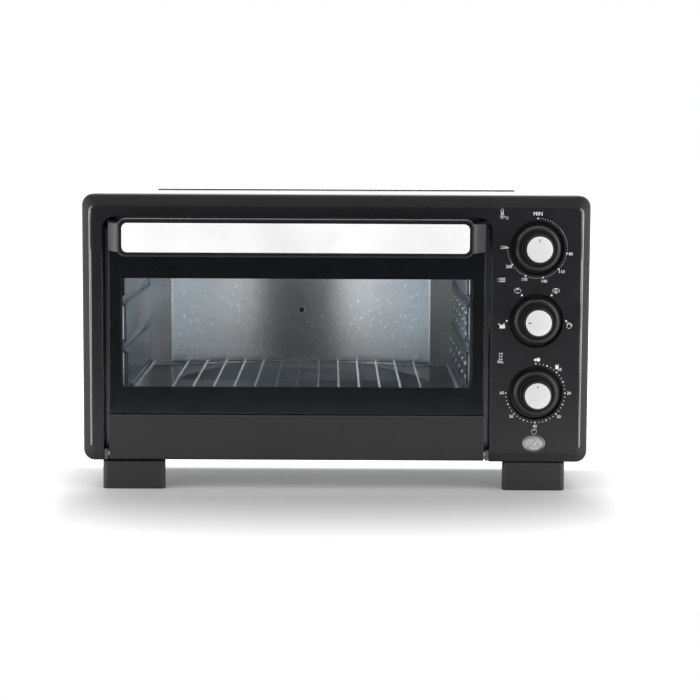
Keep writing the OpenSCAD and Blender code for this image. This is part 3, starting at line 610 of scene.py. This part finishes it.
foot_black = skin("foot_black", (0.02, 0.02, 0.021), 0.36, 0.46, 2200.0, 0.3)
foot_draft = 0.09
for node in ("foot_front_left", "foot_front_right", "foot_rear_left", "foot_rear_right"):
    foot_low, foot_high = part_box(node)
    foot_middle = (foot_low.x + foot_high.x) / 2
    foot = eased(node, node + "_moulding", 0.9 * MM)
    for vertex in foot.data.vertices:
        inwards = (vertex.co.x - foot_middle) * math.copysign(1, -foot_middle)
        if inwards > 0:
            vertex.co.x += math.copysign(foot_draft, foot_middle) * (vertex.co.y - foot_low.y)
    finished(foot, "oven", "foot_plastic", foot_black, node)
finished(eased("wall_spacers", "wall_spacer_mouldings", 0.8 * MM), "oven", "foot_plastic", foot_black,
         "wall_spacers")

# ---------------------------------------------------------------------------
# Door
# An enamelled steel frame holds one pane of tempered glass. A black border is fired on the back of the
# pane, and a satin moulding covers the door's foot.

enamel = skin("door_enamel", (0.008, 0.008, 0.010), 0.22, 0.3, 900.0, 0.1)
finished(eased("door_frame", "enamelled_frame", 0.5 * MM), "door", "door_enamel", enamel, "door_frame")

panel_grey = skin("door_panel_grey", (0.017, 0.0172, 0.018), 0.34, 0.42, 2600.0, 0.2)
finished(eased("door_panel", "door_foot_panel", 0.7 * MM), "door", "door_plastic", panel_grey,
         "door_panel")

glass = bpy.data.materials.new("tempered_glass")
glass.use_nodes = True
glass_shader = glass.node_tree.nodes["Principled BSDF"]
glass_shader.inputs["Base Color"].default_value = (0.02, 0.03, 0.035, 1)
glass_shader.inputs["Roughness"].default_value = 0.02
glass_shader.inputs["IOR"].default_value = 1.6
glass_shader.inputs["Alpha"].default_value = 0.1
pane_low, pane_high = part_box("door_glass")
finished(eased("door_glass", "window_pane", 0.4 * MM), "door", "door_glass", glass, "door_glass")

# The fired border: a thin black ring on the back of the pane, open over the window
frame_low, frame_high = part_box("door_frame")
border_side = 11.0 * MM
panel_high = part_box("door_panel")[1]
window_rise = 25.0 * MM
window_h = 96.5 * MM
window_low = (frame_low.x + border_side, panel_high.z + window_rise)
window_high = (frame_high.x - border_side, panel_high.z + window_rise + window_h)
window_round = 0.8 * MM


def round_corners(low, high, radius, steps):
    """Points round a rectangle with rounded corners, in x and z."""
    corners = ((high[0] - radius, high[1] - radius, 0), (low[0] + radius, high[1] - radius, 90),
               (low[0] + radius, low[1] + radius, 180), (high[0] - radius, low[1] + radius, 270))
    points = []
    for x, z, start in corners:
        for step in range(steps + 1):
            angle = math.radians(start + 90 * step / steps)
            points.append((x + radius * math.cos(angle), z + radius * math.sin(angle)))
    return points


def ring_between(name, outer, inner, y_front, y_back):
    """A flat frame between two outlines with the same number of points."""
    bm = bmesh.new()
    loops = [[bm.verts.new((x, y, z)) for x, z in outline]
             for outline, y in ((outer, y_front), (inner, y_front), (inner, y_back), (outer, y_back))]
    count = len(outer)
    for a, b in zip(loops, loops[1:] + loops[:1]):
        for i in range(count):
            j = (i + 1) % count
            bm.faces.new((a[i], b[i], b[j], a[j]))
    bmesh.ops.recalc_face_normals(bm, faces=bm.faces)
    mesh = bpy.data.meshes.new(name)
    bm.to_mesh(mesh)
    bm.free()
    mesh.shade_smooth()
    mesh.set_sharp_from_angle(angle=math.radians(35))
    return placed(name, mesh)


inset = 0.3 * MM
border_outer = round_corners((pane_low.x + inset, pane_low.z + inset),
                             (pane_high.x - inset, pane_high.z - inset), 0.5 * MM, 8)
border_inner = round_corners(window_low, window_high, window_round, 8)
border = ring_between("fired_border", border_outer, border_inner, pane_low.y + 0.5 * MM,
                      pane_low.y + 0.8 * MM)
border_black = skin("fired_black", (0.0035, 0.004, 0.0055), 0.12, 0.18, 900.0, 0.04)
finished(border, "door", "door_glass", border_black)

# ---------------------------------------------------------------------------
# Handle
# A black bar with a satin steel plate let into its face, held out by two grey end brackets.

bar_black = skin("handle_black", (0.009, 0.009, 0.01), 0.22, 0.3, 2600.0, 0.15)
inlay_low, inlay_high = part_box("handle_plate")
bar_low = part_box("handle_bar")[0]


def outside_inlay(at):
    beside = at.x < inlay_low.x - 1 * MM or at.x > inlay_high.x + 1 * MM
    return beside or at.z < inlay_low.z - 1 * MM or at.z > inlay_high.z + 1 * MM


grip = eased("handle_bar", "handle_grip", 1.3 * MM, outside_inlay, segments=5)
for vertex in grip.data.vertices:
    vertex.co.y = max(vertex.co.y, bar_low.y)
finished(grip, "door", "handle_plastic", bar_black, "handle_bar")
# The plate is coloured near white and kept mostly matt: a painted reflection standing for polished steel
# catching the studio light
polish_and_painted_reflection = skin("polished_steel", (0.99, 0.99, 0.99), 0.5, 0.56, 1200.0, 0.03, plain={"Metallic": 0.3})
finished(eased("handle_plate", "handle_inlay", 0.6 * MM), "door", "polished_steel", polish_and_painted_reflection,
         "handle_plate")
bracket_grey = skin("bracket_grey", (0.066, 0.067, 0.07), 0.4, 0.5, 1500.0, 0.5,
                    mottle=(800.0, 0.75, 1.25))
bracket_drop = 1.6 * MM
bracket_shade = skin("bracket_shade", (0.01, 0.01, 0.01), 0.5, 0.6, 1500.0, 0.5)
for side in ("left", "right"):
    bracket = eased("handle_bracket_" + side, "handle_end_" + side, 1.2 * MM)
    bracket_low, bracket_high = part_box("handle_bracket_" + side)
    for vertex in bracket.data.vertices:
        if vertex.co.z > (bracket_low.z + bracket_high.z) / 2:
            vertex.co.z -= bracket_drop
    finished(bracket, "door", "bracket_plastic", bracket_grey, "handle_bracket_" + side)
    # The faces that point up or down take a near-black material: painted shade, as the lintel shades the
    # brackets' tops
    bracket.data.materials.append(bracket_shade)
    for polygon in bracket.data.polygons:
        polygon.material_index = 1 if abs(polygon.normal.z) > 0.8 else 0

# ---------------------------------------------------------------------------
# Dials
# Each is a turned-looking black moulding: a round-lipped skirt, a hollow flank and a hub. A satin silver
# cap with an engraved pointer is pressed into the hub.


def turned(name, outline, centre, steps=96):
    """A piece turned about an axis along -Y. The outline is radius and height, from axis to axis."""
    bm = bmesh.new()
    rings = []
    for radius, height in outline:
        if radius == 0:
            rings.append([bm.verts.new((centre.x, centre.y - height, centre.z))])
            continue
        ring = []
        for step in range(steps):
            angle = 2 * math.pi * step / steps
            ring.append(bm.verts.new((centre.x + radius * math.cos(angle), centre.y - height,
                                      centre.z + radius * math.sin(angle))))
        rings.append(ring)
    for a, b in zip(rings, rings[1:]):
        for i in range(steps):
            j = (i + 1) % steps
            corners = [a[i % len(a)], a[j % len(a)], b[j % len(b)], b[i % len(b)]]
            unique = [v for k, v in enumerate(corners) if v not in corners[:k]]
            bm.faces.new(unique)
    bmesh.ops.recalc_face_normals(bm, faces=bm.faces)
    mesh = bpy.data.meshes.new(name)
    bm.to_mesh(mesh)
    bm.free()
    mesh.shade_smooth()
    mesh.set_sharp_from_angle(angle=math.radians(32))
    return placed(name, mesh)


dial_black = skin("dial_black", (0.011, 0.011, 0.012), 0.26, 0.34, 2600.0, 0.12)
cap_silver = skin("cap_silver", (0.8, 0.8, 0.79), 0.36, 0.46, 2200.0, 0.12, plain={"Metallic": 0.3})
pointer_dark = skin("pointer_ink", (0.03, 0.03, 0.03), 0.4, 0.5)
pointer_pale = skin("pointer_hollow", (0.2, 0.2, 0.2), 0.4, 0.5)
grip_low, grip_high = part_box("thermostat_knob")
skirt_r = (grip_high.x - grip_low.x) / 2
skirt_in = grip_high.y - front
hub_out = front - grip_low.y
face_low, face_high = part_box("thermostat_cap")
cap_r = (face_high.x - face_low.x) / 2
cap_out = front - face_low.y
lip_r = 3.9 * MM
lip_top = 6.6 * MM
valley_r = skirt_r - 6.0 * MM
valley_h = 5.5 * MM
hub_r = skirt_r - 7.6 * MM
hub_edge = 0.6 * MM
cap_gap = 0.35 * MM
cap_seat = 1.0 * MM


def arc_points(centre_r, centre_h, radius, start, stop, steps):
    turns = [math.radians(start + (stop - start) * step / steps) for step in range(steps + 1)]
    return [(centre_r + radius * math.cos(turn), centre_h + radius * math.sin(turn)) for turn in turns]


def grip_outline():
    points = [(0, -skirt_in), (skirt_r - hub_edge, -skirt_in), (skirt_r, -skirt_in + hub_edge)]
    points += arc_points(skirt_r - lip_r, lip_top - lip_r, lip_r, 0, 122, 14)
    lip_end = points[-1]
    points.append(((lip_end[0] + valley_r) / 2, (lip_end[1] + valley_h) / 2 - 0.05 * MM))
    points.append((valley_r, valley_h))
    flank = 1.0 * MM
    points += arc_points(valley_r - 0.1 * MM, valley_h + flank, flank, 270, 190, 6)[1:]
    start_r, start_h = points[-1]
    for step in range(1, 6):
        share = step / 5
        points.append((start_r + (hub_r - start_r) * share ** 0.7,
                       start_h + (hub_out - hub_edge - start_h) * share))
    points += arc_points(hub_r - hub_edge, hub_out - hub_edge, hub_edge, 0, 90, 4)[1:]
    points += [(cap_r + cap_gap, hub_out), (cap_r + cap_gap * 0.8, hub_out - cap_seat * 0.9),
               (cap_r - cap_seat, hub_out - cap_seat), (0, hub_out - cap_seat)]
    return points


cap_edge = 0.5 * MM
cap_outline = [(0, hub_out - cap_seat), (cap_r - cap_edge, hub_out - cap_seat),
               (cap_r, hub_out - cap_edge)]
cap_outline += arc_points(cap_r - cap_edge, cap_out - cap_edge, cap_edge, 0, 90, 5)
cap_outline.append((0, cap_out))

pointer_at = 7.9 * MM
pointer_l = 2.6 * MM
pointer_w = 1.1 * MM
dial_centres = {}
for dial, turn, ink in (("thermostat", 90, pointer_pale), ("function", 180, pointer_dark),
                        ("timer", 90, pointer_pale)):
    low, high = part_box(dial + "_knob")
    centre = Vector(((low.x + high.x) / 2, front, (low.z + high.z) / 2))
    dial_centres[dial] = centre
    body = dial + "_dial"
    finished(turned(dial + "_grip", grip_outline(), centre), body, "dial_plastic", dial_black,
             dial + "_knob")
    finished(turned(dial + "_face", cap_outline, centre), body, "dial_cap", cap_silver, dial + "_cap")
    mark = round_corners((pointer_at - pointer_l / 2, -pointer_w / 2),
                         (pointer_at + pointer_l / 2, pointer_w / 2), pointer_w * 0.49, 4)
    bm = bmesh.new()
    turn_matrix = Matrix.Rotation(math.radians(-turn), 4, "Y")
    top = [bm.verts.new(turn_matrix @ Vector((x, 0, z)) + centre - Vector((0, cap_out + 0.02 * MM, 0)))
           for x, z in mark]
    low_ring = [bm.verts.new(v.co + Vector((0, 0.3 * MM, 0))) for v in top]
    bm.faces.new(top)
    for i in range(len(top)):
        j = (i + 1) % len(top)
        bm.faces.new((top[i], top[j], low_ring[j], low_ring[i]))
    bmesh.ops.recalc_face_normals(bm, faces=bm.faces)
    mesh = bpy.data.meshes.new(dial + "_pointer")
    bm.to_mesh(mesh)
    bm.free()
    finished(placed(dial + "_pointer", mesh), body, "dial_cap", ink)

# ---------------------------------------------------------------------------
# Panel print
# White screen print on the panel: dots round each dial, numbers and plain pictograms.

print_white = skin("panel_ink", (0.95, 0.95, 0.95), 0.5, 0.6, 1800.0, 0.1)
ink_t = 0.04 * MM
dot_ring = 26.4 * MM


# Dots at even steps along an arc, facing forwards
dot_arc, arc_in, arc_out = geometry_group("dot_arc", (("Count", "Int"), ("Arc Radius", "Float"),
                                                      ("Start", "Float"), ("Step", "Float"),
                                                      ("Dot Radius", "Float"), ("Ink", "Material")))
dot_index = dot_arc.nodes.new("GeometryNodeInputIndex").outputs[0]
turned_by = node_maths(dot_arc, "ADD", arc_in.outputs["Start"],
                       node_maths(dot_arc, "MULTIPLY", dot_index, arc_in.outputs["Step"]))
dot_place = dot_arc.nodes.new("ShaderNodeCombineXYZ")
for axis, operation in (("X", "SINE"), ("Z", "COSINE")):
    along = node_maths(dot_arc, operation, turned_by)
    dot_arc.links.new(node_maths(dot_arc, "MULTIPLY", along, arc_in.outputs["Arc Radius"]),
                      dot_place.inputs[axis])
dot_points = dot_arc.nodes.new("GeometryNodePoints")
dot_arc.links.new(arc_in.outputs["Count"], dot_points.inputs["Count"])
dot_arc.links.new(dot_place.outputs[0], dot_points.inputs["Position"])
dot_disc = dot_arc.nodes.new("GeometryNodeMeshCircle")
dot_disc.fill_type = "NGON"
dot_disc.inputs["Vertices"].default_value = 12
dot_arc.links.new(arc_in.outputs["Dot Radius"], dot_disc.inputs["Radius"])
copies_out(dot_arc, dot_points.outputs[0], dot_disc.outputs[0], (math.pi / 2, 0, 0),
           arc_in.outputs["Ink"], arc_out)


def dots(name, centre, count, start, step, radius):
    settings = {"Count": count, "Arc Radius": dot_ring, "Start": math.radians(start),
                "Step": math.radians(step), "Dot Radius": radius, "Ink": print_white}
    piece = made_by(name, dot_arc, settings, (centre.x, front - ink_t, centre.z))
    finished(piece, "oven", "lens_plastic", print_white)


big_dot = 0.75 * MM
small_dot = 0.4 * MM
scale_dot = 0.3 * MM
heat = dial_centres["thermostat"]
choice = dial_centres["function"]
clock = dial_centres["timer"]
heat_step = 4.9
heat_first = 20.3
heat_labels = (80, 110, 140, 170, 200, 230)
clock_step = 7.5
dots("heat_dots", heat, 56, 0, heat_step, scale_dot)
dots("heat_marks", heat, 6, heat_first * heat_step, 7 * heat_step, big_dot)
dots("heat_start", heat, 1, 0, 0, big_dot)
dots("choice_dots", choice, 4, -90, 60, 0.85 * MM)
dots("clock_dots", clock, 37, 0, clock_step, small_dot)
dots("clock_marks", clock, 13, 0, 3 * clock_step, big_dot)


def print_dot(bm, at, radius, sides=10):
    rim = [bm.verts.new((at[0] + radius * math.cos(2 * math.pi * k / sides), front - ink_t,
                         at[1] + radius * math.sin(2 * math.pi * k / sides))) for k in range(sides)]
    bm.faces.new(rim)


def print_line(bm, points, width, closed=False):
    """A printed line of even width through points, in x and z."""
    ends = points[1:] + points[:1] if closed else points[1:]
    for (x0, z0), (x1, z1) in zip(points, ends):
        along = Vector((x1 - x0, 0, z1 - z0)).normalized()
        across = Vector((along.z, 0, -along.x)) * width / 2
        overlap = along * width * 0.3
        start = Vector((x0, front - ink_t, z0)) - overlap
        end = Vector((x1, front - ink_t, z1)) + overlap
        corners = (start - across, end - across, end + across, start + across)
        bm.faces.new([bm.verts.new(corner) for corner in corners])


def around(centre, clockwise, radius):
    """A point at an angle clockwise from twelve o'clock."""
    angle = math.radians(clockwise)
    return (centre.x + radius * math.sin(angle), centre.z + radius * math.cos(angle))


def circle(at, radius, sides=20, start=0.0, sweep=360.0):
    count = sides if sweep == 360.0 else sides + 1
    turns = [math.radians(start + sweep * k / sides) for k in range(count)]
    return [(at[0] + radius * math.sin(turn), at[1] + radius * math.cos(turn)) for turn in turns]


# Pictograms: thermometer, list of settings, oven elements, hourglass, slices and power ring
ink = bmesh.new()
line_w = 0.42 * MM
stem_w = 0.95 * MM
stem_h = 6.2 * MM
icon_x = heat.x - 31.6 * MM
bulb = (icon_x, heat.z + 28.0 * MM)
print_line(ink, circle(bulb, 1.8 * MM, 20, 28, 304), line_w)
for side in (-1, 1):
    stem_x = icon_x + side * stem_w
    print_line(ink, [(stem_x, bulb[1] + 1.5 * MM), (stem_x, bulb[1] + stem_h)], line_w)
print_line(ink, circle((icon_x, bulb[1] + stem_h), stem_w, 10, -90, 180), line_w)
print_dot(ink, bulb, 0.8 * MM, 14)
print_line(ink, [bulb, (icon_x, bulb[1] + 3.4 * MM)], 0.5 * MM)
list_z = choice.z + 36.4 * MM
for row in (-1, 0, 1):
    row_z = list_z + row * 1.4 * MM
    print_dot(ink, (icon_x - 2.9 * MM, row_z), 0.3 * MM, 8)
    print_line(ink, [(icon_x - 1.5 * MM, row_z), (icon_x + 3.4 * MM, row_z)], 0.5 * MM)
oven_icon = (2.75 * MM, 1.95 * MM)
for side, has_lower in ((-1, False), (1, True)):
    x = choice.x + side * 17.0 * MM
    z = choice.z + 27.0 * MM
    outline = round_corners((x - oven_icon[0], z - oven_icon[1]), (x + oven_icon[0], z + oven_icon[1]),
                            1.3 * MM, 5)
    print_line(ink, outline, 0.6 * MM, True)
    for rise in (0.75, -0.75) if has_lower else (0.75,):
        print_line(ink, [(x - 1.5 * MM, z + rise * MM), (x + 1.5 * MM, z + rise * MM)], 0.4 * MM)
loaf = (choice.x - 30.4 * MM, choice.z - 5.2 * MM)
for rise in (-1.0, 0.0, 1.0):
    slice_z = loaf[1] + rise * MM
    print_line(ink, [(loaf[0] - 1.9 * MM, slice_z), (loaf[0] + 2.3 * MM, slice_z)], 1.05 * MM)
for start, end, width in (((-3.2, 2.6), (-1.2, 1.2), 0.8), ((0.6, 1.4), (1.9, 2.9), 0.7)):
    print_line(ink, [(loaf[0] + x * MM, loaf[1] + z * MM) for x, z in (start, end)], width * MM)
bird = (choice.x + 29.0 * MM, choice.z - 4.6 * MM)
print_line(ink, circle(bird, 1.9 * MM, 18), 0.55 * MM, True)
wing = ((-1.9, 1.6), (-0.6, 3.3), (1.6, 2.4), (2.9, 0.2))
print_line(ink, [(bird[0] + x * MM, bird[1] + z * MM) for x, z in wing], 0.5 * MM)
sand = (icon_x + 0.4 * MM, clock.z + 32.6 * MM)
for side in (-1, 1):
    print_line(ink, circle((sand[0], sand[1] + side * 1.4 * MM), 1.3 * MM, 16), line_w, True)
    print_line(ink, [(sand[0] - 1.7 * MM, sand[1] + side * 2.9 * MM),
                     (sand[0] + 1.7 * MM, sand[1] + side * 2.9 * MM)], line_w)
bread = (clock.x + 2.2 * MM, clock.z + 30.0 * MM)
print_dot(ink, bread, 1.7 * MM, 14)
print_dot(ink, (bread[0] - 2.6 * MM, bread[1] - 0.2 * MM), 1.2 * MM, 12)
toast = (clock.x + 18.9 * MM, clock.z + 24.0 * MM)
print_line(ink, [(toast[0], toast[1] - 1.5 * MM), (toast[0], toast[1] + 1.1 * MM)], 2.8 * MM)
print_line(ink, [(toast[0] - 1.3 * MM, toast[1] + 1.4 * MM), (toast[0] + 1.3 * MM, toast[1] + 1.4 * MM)],
           0.9 * MM)
lens_low, lens_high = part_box("indicator_lens")
lens_centre = (lens_low + lens_high) / 2
power = (clock.x - 0.6 * MM, lens_centre.z + 10.9 * MM)
print_line(ink, circle(power, 2.3 * MM, 24, 28, 304), 0.5 * MM)
print_line(ink, [(power[0], power[1] + 0.9 * MM), (power[0], power[1] + 2.4 * MM)], 0.5 * MM)

marks_mesh = bpy.data.meshes.new("panel_marks")
ink.normal_update()
for face in ink.faces:
    if face.normal.y > 0:
        face.normal_flip()
ink.to_mesh(marks_mesh)
ink.free()
finished(placed("panel_marks", marks_mesh), "oven", "lens_plastic", print_white)


def print_text(name, words, at, size):
    """Printed characters, centred on a point of the panel."""
    curve = bpy.data.curves.new(name, "FONT")
    curve.body = words
    curve.size = size
    curve.align_x = "CENTER"
    curve.align_y = "CENTER"
    curve.resolution_u = 3
    curve.offset = size * 0.006
    text = bpy.data.objects.new(name, curve)
    bpy.context.collection.objects.link(text)
    mesh = bpy.data.meshes.new_from_object(text)
    bpy.data.objects.remove(text)
    upright = Matrix.Rotation(math.pi / 2, 4, "X")
    mesh.transform(Matrix.Translation((at[0], front - ink_t, at[1])) @ upright)
    return finished(placed(name, mesh), "oven", "lens_plastic", print_white)


digit_h = 3.7 * MM
label_out = 3.5 * MM
for step, number in enumerate(heat_labels):
    turn = (heat_first + 7 * step) * heat_step
    print_text(f"heat_{number}", str(number), around(heat, turn, dot_ring + label_out), digit_h)
minute_turn = 4.5
for number in range(10, 70, 10):
    print_text(f"minutes_{number}", str(number),
               around(clock, number * minute_turn, dot_ring + label_out), digit_h)
print_text("heat_least", "MIN", around(heat, 0, dot_ring + 4.0 * MM), 4.7 * MM)
print_text("heat_unit", "°C", (icon_x + 3.9 * MM, bulb[1] - 1.4 * MM), 3.2 * MM)
print_text("clock_unit", "Min.", (sand[0], sand[1] - 4.9 * MM), 3.4 * MM)

# ---------------------------------------------------------------------------
# Indicator
# A frosted oval lens, slightly domed, over a neon lamp.

frosted = skin("frosted_lens", (0.46, 0.455, 0.45), 0.25, 0.4, 620.0, 1.0, 0.0006,
               mottle=(560.0, 0.62, 1.3))
finished(eased("indicator_lens", "oval_lens", 0.5 * MM), "oven", "lens_plastic", frosted,
         "indicator_lens")

# A glossy black rim round the lens, swept along its oval
rim_section = ((0.1, 0.0), (0.25, 0.25), (0.9, 0.2), (1.35, 0.5), (1.75, 0.35), (1.9, 0.0))
rim_steps = 64
lens_half = ((lens_high.x - lens_low.x) / 2 - 2 * MM, (lens_high.z - lens_low.z) / 2)
rim = bmesh.new()
rim_loops = []
for out, rise in rim_section:
    loop = []
    for step in range(rim_steps):
        angle = 2 * math.pi * step / rim_steps
        loop.append(rim.verts.new((lens_centre.x + (lens_half[0] + out * MM) * math.cos(angle),
                                   front - rise * MM,
                                   lens_centre.z + (lens_half[1] + out * MM) * math.sin(angle))))
    rim_loops.append(loop)
for inner, outer in zip(rim_loops, rim_loops[1:] + rim_loops[:1]):
    for step in range(rim_steps):
        after = (step + 1) % rim_steps
        rim.faces.new((inner[step], outer[step], outer[after], inner[after]))
bmesh.ops.recalc_face_normals(rim, faces=rim.faces)
rim_mesh = bpy.data.meshes.new("lens_rim")
rim.to_mesh(rim_mesh)
rim.free()
rim_mesh.shade_smooth()
finished(placed("lens_rim", rim_mesh), "oven", "frame_plastic", bead_black)

# ---------------------------------------------------------------------------
# Rack and tray
# The rack is bright chrome-plated wire. The tray is plain aluminised sheet.

chrome = skin("chrome_wire", (0.86, 0.87, 0.88), 0.14, 0.2, 1400.0, 0.05, plain={"Metallic": 1.0})
coated("rack", chrome)
tray_metal = sheet_metal("tray_sheet", (0.62, 0.63, 0.64), 0.3, 0.4, (600.0, 30.0, 600.0))
finished(eased("crumb_tray", "folded_tray", 0.2 * MM), "crumb_tray", "aluminised", tray_metal,
         "crumb_tray")
